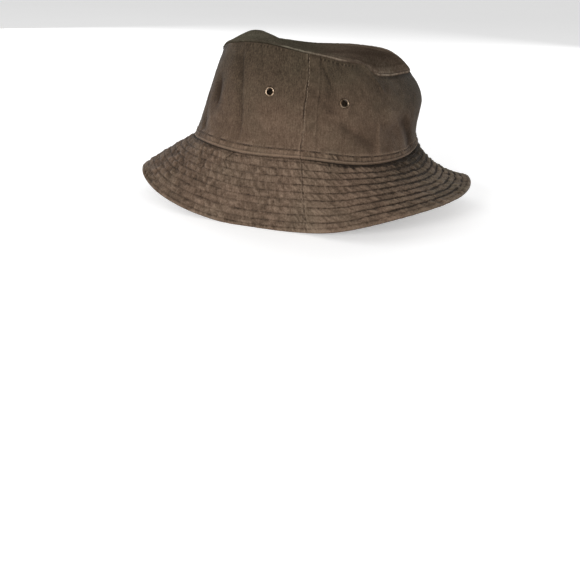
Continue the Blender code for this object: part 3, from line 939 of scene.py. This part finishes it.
def label_relief(x, y, high):
    edge = np.minimum(np.minimum(x, LABEL_WIDE - x), np.minimum(y, high - y))
    return 0.12 * hump(edge - 0.5, 0.6) - 0.12 * hump(edge - 1.3, 0.35) + 0.05 * noise(x / 4, y / 4, 3.3)


def lining(node, turn, up, x, span, relief, depth, thickness, shade, **form):
    """A sheet sewn inside the crown at a depth in mm, its relief facing the head."""
    y, high = (up - span[0]) * SIDE_HIGH, (span[1] - span[0]) * SIDE_HIGH
    height = relief(x, y, high)
    depth = depth - lining_drop(turn, up)
    grids = faces_over(side_point, turn, up, -depth, -depth - thickness - height)
    # The inner face's tone follows its relief, paler on rolled edges and darker in stitch rows, part wear and
    # part painted shade.
    cloth(node, grids, weave_of(x, y), (0 * height, 1.2 * height - shade), **form)


def band_ring(node, span, rows, thickness, relief, **form):
    """A ribbon sewn all the way round behind the sides."""
    turn, up = np.meshgrid(np.linspace(0, TURN, RING_COLUMNS, endpoint=False), np.linspace(*span, rows))
    lining(node, turn, up, along_of(turn), span, relief, BEHIND, thickness, 0.1, wrap=True, **form)


def patch(node, middle, width, span, size, depth, thickness, relief, **form):
    """A short strip sewn to the inside of the crown, with size columns and rows of points."""
    reach = width * MM / 2 / BASE_HALF[1]
    turn, up = np.meshgrid(np.linspace(middle - reach, middle + reach, size[0]), np.linspace(*span, size[1]))
    x = (turn - middle) / reach * width / 2 + width / 2
    flat = (width * MM, (span[1] - span[0]) * SIDE_HIGH * MM)
    lining(node, turn, up, x, span, relief, depth, thickness, 0.05, flat=flat, **form)


band_ring("sweatband", BAND_SPAN, 56, BAND - 0.1, band_relief,
          flat=(0.584, 0.0365), material=band_twill, slot="sweatband_twill")
band_ring("tip_seam_tape", TIP_TAPE_SPAN, 24, TAPE - 0.05, tape_relief,
          flat=(0.46, 0.0105), material=tape_twill, slot="bias_tape")
for where, middle in SEAMS:
    patch(f"side_seam_tape_{where}", middle, TAPE_WIDE, SIDE_TAPE_SPAN, (48, 80), BEHIND, TAPE - 0.05,
          upright_tape_relief, material=tape_twill, slot="bias_tape")
patch("size_label", math.pi, LABEL_WIDE, LABEL_SPAN, (80, 50), INSIDE + BAND + GAP + 0.25, LABEL - 0.1,
      label_relief, material=label_satin, slot="label_satin", stuff="satin")


# ---- thread ----

# A stitch's rings: how far along it, how thick and how high, as shares of its length and its radius.
STITCH_RINGS = ((-0.5, 0.45, -0.9), (-0.38, 0.85, 0.0), (-0.12, 1.0, 0.45),
                (0.12, 1.0, 0.45), (0.38, 0.85, 0.0), (0.5, 0.45, -0.9))
STITCH_CORNERS = [(math.cos(TURN * k / 6), math.sin(TURN * k / 6)) for k in range(6)]
STITCH_SKEW = 0.06


def stitch_faces(count):
    """The faces of so many stitches, each a closed tube of rings."""
    corners = len(STITCH_CORNERS)
    per = len(STITCH_RINGS) * corners
    first = per * np.arange(count)[:, None]
    walls = []
    for ring in range(len(STITCH_RINGS) - 1):
        for k in range(corners):
            a, b = ring * corners + k, ring * corners + (k + 1) % corners
            walls.append(first + [a, b, b + corners, a + corners])
    ends = np.concatenate([first + np.arange(corners)[::-1], first + np.arange(per - corners, per)])
    return np.concatenate(walls).tolist() + ends.tolist()


def stitched(name, paths, pitch=2.7, length=2.05, radius=0.2, thread=brown_thread):
    """Single stitches, each arched out of the cloth, along lines of (places, normals)."""
    stitches = []
    for places, ups in paths:
        gone = lengths_along(places)
        at = np.arange(pitch / 2, gone[-1] - pitch / 2, pitch)

        def read(rows, where):
            return np.stack([np.interp(where, gone, rows[:, k]) for k in range(3)], -1)

        up, middle = read(ups, at), read(places, at)
        ahead = unit(read(places, at + length / 2) - read(places, at - length / 2))
        side = np.cross(up, ahead)
        ahead = ahead + side * STITCH_SKEW * LATTICE[np.arange(len(at)) % LATTICE_SIZE][:, None]
        rings = [ahead * share * length + (side * c * thick + up * (s * thick + rise)) * radius
                 for share, thick, rise in STITCH_RINGS for c, s in STITCH_CORNERS]
        stitches.append(middle[:, None] + np.stack(rings, 1) * MM)
    stitches = np.concatenate(stitches)
    points = np.maximum(stitches, (-1, -1, THREAD_CLEARANCE))
    thing = new_mesh(name, points, stitch_faces(len(stitches)), thread, sharp=None)


def line_on(surface, turn, v, height, facing=1):
    """A line over a surface, as (places, normals); facing is -1 on an under side."""
    n = normals(surface, turn, v)
    return surface(turn, v) + n * (height * MM)[..., None], facing * n


PER_LINE, PER_SEAM, PER_TAPE = 700, 300, 200  # points along each stitched line
PROUD, SEAM_PROUD = 0.1, 0.12  # how far a stitch's line stands off the cloth, in mm
# The brim's faces: seed, facing, depth below the top cloth's outside, how deep stitches sink.
BRIM_FACES = (("top", TOP_SEED, 1, 0.0, 0.4), ("under", UNDER_SEED, -1, LAYERS + CLOTH, 0.0))
half_turns = {"left": np.linspace(FAR + 0.012, NEAR - 0.012, PER_LINE),
              "right": np.linspace(-FAR + 0.012, FAR - 0.012, PER_LINE)}


def quilting_line(turns, row, seed, facing, below, sink):
    x = along_of(turns)
    up = 1 - (row - row_wander(x, row, seed)) / BRIM_DEEP
    height = brim_height(turns, up, seed)[0] + PROUD - sink * np.maximum(noise(x / 2.6, row), 0)
    return line_on(brim_point, turns, up, brim_sway(turns, up) - below + facing * height, facing)


for hand, turns in half_turns.items():
    for face, *how in BRIM_FACES:
        rows = [quilting_line(turns, row, *how) for row in STITCH_ROWS]
        stitched(f"quilting_thread_{face}_{hand}", rows, thread=quilt_thread)

for hand, turns in half_turns.items():
    rows = [line_on(side_point, turns, up, side_height(turns, up)[0] + PROUD)
            for up in (row / SIDE_HIGH + 0 * turns for row in BASE_ROWS)]
    stitched(f"base_seam_thread_{hand}", rows, radius=0.22, thread=base_thread)

for where, _ in SEAMS:
    up = np.linspace(0.095, 0.965, PER_SEAM)
    turns = turn_of((side_lean(up) if where == "near" else ROUND / 2) + 0.95 + 0 * up)
    line = line_on(side_point, turns, up, side_height(turns, up)[0] + SEAM_PROUD)
    stitched(f"crown_seam_thread_{where}", [line], pitch=3.1, length=1.9, radius=0.27, thread=pale_thread)
    up = np.linspace(0.03, 0.95, PER_SEAM)
    turns = turn_of((brim_lean(up) if where == "near" else ROUND / 2) - 0.9 + 0 * up)
    height = brim_sway(turns, up) + brim_height(turns, up, TOP_SEED)[0] + SEAM_PROUD
    stitched(f"brim_seam_thread_{where}", [line_on(brim_point, turns, up, height)],
             pitch=3.1, length=1.8, radius=0.24, thread=pale_thread)

ring = np.arange(TIP_COLUMNS + 1) % TIP_COLUMNS
edge_row = np.argmin(np.abs(tip_edge - TIP_ROW), axis=0)[ring]
stitched("tip_seam_thread", [(tip_outer[edge_row, ring], tip_normals[edge_row, ring])], radius=0.22,
         thread=quilt_thread)


def lining_line(turns, up, depth):
    """A line along the lining's inner face, whose depth is given in mm."""
    up = up + 0 * turns
    return line_on(side_point, turns, up, lining_drop(turns, up) - depth, -1)


TAPE_DEPTH = INSIDE + TAPE - 0.1
rows = []
for (low, high), stitch, depth in ((BAND_SPAN, BAND_STITCH, INSIDE + BAND - 0.15),
                                   (TIP_TAPE_SPAN, TAPE_STITCH, TAPE_DEPTH)):
    for up in (low + stitch / SIDE_HIGH, high - stitch / SIDE_HIGH):
        rows.append(lining_line(np.linspace(0, TURN, 2 * PER_LINE), up, depth))
for _, middle in SEAMS:
    for side in (-1, 1):
        up = np.linspace(0.44, 0.845, PER_TAPE)
        turns = middle + side * (TAPE_WIDE / 2 - TAPE_STITCH) * MM / BASE_HALF[1] + 0 * up
        rows.append(lining_line(turns, up, TAPE_DEPTH))
stitched("lining_thread", rows)


# ---- eyelets ----

CLOTH_HOLE = 3.35  # radii and heights are in mm, heights from the cloth outwards
EYELET_EDGE, EYELET_BORE, EYELET_NECK = 4.3, 2.6, 3.0
WASHER_BORE, WASHER_TOP = 3.35, -1.15
EYELET_SIDES, PUNCH_SIDES = 72, 48


def arc(centre, radius, start, end, count):
    """Points of (radius, height) round part of a circle, in degrees."""
    angles = np.radians(np.linspace(start, end, count + 1))
    return [(centre[0] + radius * math.cos(angle), centre[1] + radius * math.sin(angle)) for angle in angles]


EYELET_OUTLINE = (
    [(EYELET_EDGE, 0.12)] + arc((EYELET_EDGE - 0.3, 0.38), 0.3, 0, 50, 5) + arc((3.3, 0.2), 0.92, 42, 118, 10)
    + arc((EYELET_BORE + 0.3, 0.62), 0.3, 120, 180, 6)
    + [(EYELET_BORE, 0.2), (EYELET_BORE, -1.2), (EYELET_BORE, -2.25)]
    + arc((EYELET_BORE + 0.55, -2.2), 0.55, 180, 270, 6) + arc((3.5, -2.4), 0.33, 270, 400, 6)
    + [(3.15, -1.95), (EYELET_NECK, -1.7), (EYELET_NECK, 0.1)]
)
WASHER_OUTLINE = (
    [(WASHER_BORE, WASHER_TOP), (WASHER_BORE, -1.4)] + arc((3.6, -1.38), 0.24, 180, 270, 4)
    + arc((4.35, -1.38), 0.24, 270, 360, 4) + [(4.6, WASHER_TOP)]
)


def lathed(node, outline, place, material):
    """A closed outline of (radius, height) points in mm, turned about the eyelet's axis."""
    turns = np.linspace(0, TURN, EYELET_SIDES, endpoint=False)[:, None]
    radius, height = np.array(outline).T * MM
    points = np.stack([radius * np.cos(turns), radius * np.sin(turns), height + 0 * turns], -1)
    world = points @ np.array(place.to_3x3()).T + np.array(place.translation)
    index = np.arange(turns.size * len(outline)).reshape(turns.size, len(outline))
    ahead, up = np.roll(index, -1, 0), np.roll(index, -1, 1)
    faces = np.stack([index, ahead, np.roll(ahead, -1, 1), up], -1).reshape(-1, 4)
    thing = new_mesh(f"{node}_brass", world, faces, material, sharp=40)
    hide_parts(node)


def punched(panel, place):
    """Cuts a round hole through a panel."""
    tool = ready_made("punch", "cone", cap_ends=True, segments=PUNCH_SIDES, radius1=CLOTH_HOLE * MM,
                      radius2=CLOTH_HOLE * MM, depth=8 * MM)
    tool.matrix_world = place
    cut = panel.modifiers.new("hole", "BOOLEAN")
    cut.operation, cut.solver, cut.object = "DIFFERENCE", "EXACT", tool
    bpy.context.view_layer.update()
    made = bpy.data.meshes.new_from_object(panel.evaluated_get(bpy.context.evaluated_depsgraph_get()))
    panel.modifiers.clear()
    panel.data = made
    bpy.data.objects.remove(tool, do_unlink=True)


for (where, hand), place in EYELETS.items():
    lathed(f"eyelet_{where}_{hand}", EYELET_OUTLINE, place, antique_brass)
    lathed(f"eyelet_washer_{where}_{hand}", WASHER_OUTLINE, place, washer_brass)
    punched(sides[hand], place)


# ---- the studio ----

MIDDLE = Vector((0, 0, 0.08))  # what the lamps point at
LAMPS = (  # name, place, width and height in metres, watts
    ("key", (-0.6, -1.4, 0.45), (0.5, 0.4), 21),
    ("front", (0.2, -1.7, 0.25), (1.2, 0.6), 5),
    ("back_left", (-1.1, 1.3, 0.32), (0.8, 0.6), 20),
    ("back_right", (1.2, 1.2, 0.32), (0.8, 0.6), 17),
    ("right", (1.5, -0.5, 0.35), (0.5, 0.5), 3),
)
SKY_STRENGTH = 0.42
FLOOR_REACH, FLOOR_CELLS = 40, 24


def area_lamp(name, place, size, watts):
    lamp = bpy.data.lights.new(name, "AREA")
    lamp.shape, lamp.size, lamp.size_y, lamp.energy = "RECTANGLE", *size, watts
    aim = (MIDDLE - Vector(place)).to_track_quat("-Z", "Y")
    linked(name, lamp).matrix_world = Matrix.Translation(place) @ aim.to_matrix().to_4x4()


for lamp in LAMPS:
    area_lamp(*lamp)
world = bpy.data.worlds.new("studio")
bpy.context.scene.world = world
world.use_nodes = True
world.node_tree.nodes["Background"].inputs["Color"].default_value = (1, 1, 1, 1)
world.node_tree.nodes["Background"].inputs["Strength"].default_value = SKY_STRENGTH

floor = ready_made("floor", "grid", x_segments=FLOOR_CELLS, y_segments=FLOOR_CELLS, size=FLOOR_REACH)
floor.data.materials.append(floor_material())

# The camera stands a little above the hat's middle and 0.76 m from it; pitch, yaw and roll then aim it.
CAMERA_DISTANCE, CAMERA_RISE, CAMERA_ROUND = 0.76, math.radians(11.735), math.radians(1.934)
CAMERA_PITCH, CAMERA_YAW, CAMERA_ROLL = math.radians(22.682), math.radians(0.830), math.radians(2.056)
eye = bpy.data.cameras.new("camera")
eye.sensor_width, eye.lens = 36, 49.68
camera = linked("camera", eye)
outward = Vector((math.sin(CAMERA_ROUND), -math.cos(CAMERA_ROUND), 0)) * math.cos(CAMERA_RISE)
outward.z = math.sin(CAMERA_RISE)
stand = Vector(FRAME_SHIFT) + Vector((0, 0, SEAM_HEIGHT)) + CAMERA_DISTANCE * outward
camera.matrix_world = Matrix.Translation(stand)
for angle, axis in ((CAMERA_ROUND + CAMERA_YAW, "Z"), (math.pi / 2 - CAMERA_PITCH, "X"), (CAMERA_ROLL, "Z")):
    camera.matrix_world = camera.matrix_world @ Matrix.Rotation(angle, 4, axis)
bpy.context.scene.camera = camera
bpy.context.scene.view_settings.view_transform = "Standard"
